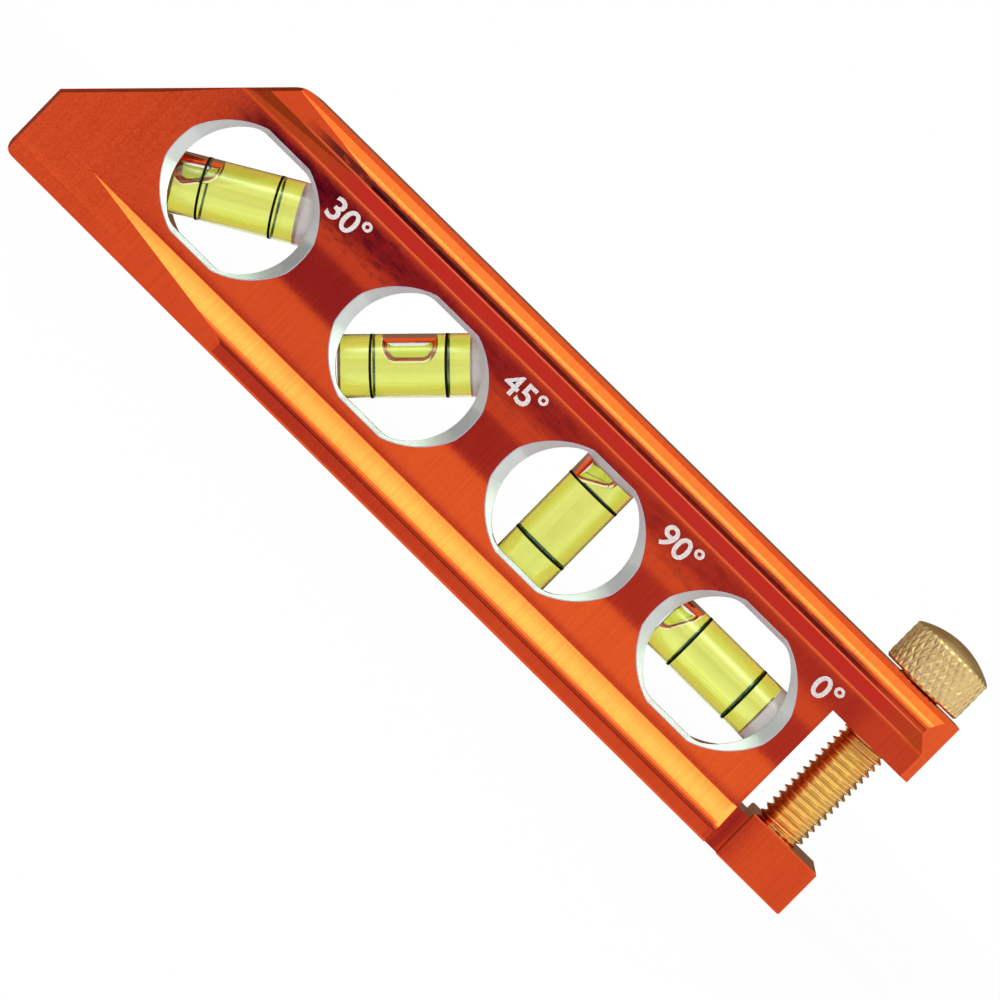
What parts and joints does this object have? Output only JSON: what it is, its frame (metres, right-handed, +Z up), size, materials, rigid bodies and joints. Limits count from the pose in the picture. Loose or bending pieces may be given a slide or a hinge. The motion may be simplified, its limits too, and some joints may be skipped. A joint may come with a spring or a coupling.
{
  "type": "pocket spirit level",
  "caption": "Tapered pocket level with see-through vials at set angles, a V groove with magnets in its base, and a thumb screw that clamps it to a conduit.",
  "frame": {"origin": "on the base plane, under the middle of the body", "axes": "+X along the level from the nose to the clamp, +Y through its thickness from the front to the back, +Z up"},
  "size_m": [0.1588, 0.017, 0.0466],
  "materials": {
    "anodised_body": "orange-red anodising over milled faces, satin",
    "bright_bezel": "bright turned slopes",
    "clear_tube": "clear, polished",
    "vial_liquid": "clear yellow-green liquid",
    "line_paint": "black paint",
    "print_paint": "pale grey printed numbers",
    "magnet_plate": "nickel plate",
    "brass_thread": "bright brass",
    "brass_knurl": "satin brass, diamond knurl"
  },
  "bodies": {
    "level": {"level_body": "anodised_body", "vial_bezel_30": "bright_bezel", "vial_tube_30": "clear_tube", "vial_plug_30": "clear_tube", "vial_liquid_30": "vial_liquid", "vial_lines_30": "line_paint", "vial_bezel_45": "bright_bezel", "vial_tube_45": "clear_tube", "vial_plug_45": "clear_tube", "vial_liquid_45": "vial_liquid", "vial_lines_45": "line_paint", "vial_bezel_90": "bright_bezel", "vial_tube_90": "clear_tube", "vial_plug_90": "clear_tube", "vial_liquid_90": "vial_liquid", "vial_lines_90": "line_paint", "vial_bezel_0": "bright_bezel", "vial_tube_0": "clear_tube", "vial_plug_0": "clear_tube", "vial_liquid_0": "vial_liquid", "vial_lines_0": "line_paint", "magnet_1": "magnet_plate", "magnet_2": "magnet_plate", "magnet_3": "magnet_plate"},
    "stud": {"clamp_stud": "brass_thread"},
    "head": {"clamp_head": "brass_knurl"}
  },
  "joints": [
    {"name": "screw_travel", "type": "slide", "parent": "level", "child": "stud", "axis": [0, 0, 1], "range_m": [0, 0.0175]},
    {"name": "screw_turn", "type": "hinge", "parent": "stud", "child": "head", "pos_m": [0.07143, 0, 0.0415], "axis": [0, 0, 1], "range_deg": [0, 5040]}
  ],
  "couplings": [
    {"joint": "screw_travel", "follows": "screw_turn", "m_per_rad": 0.00019894}
  ]
}
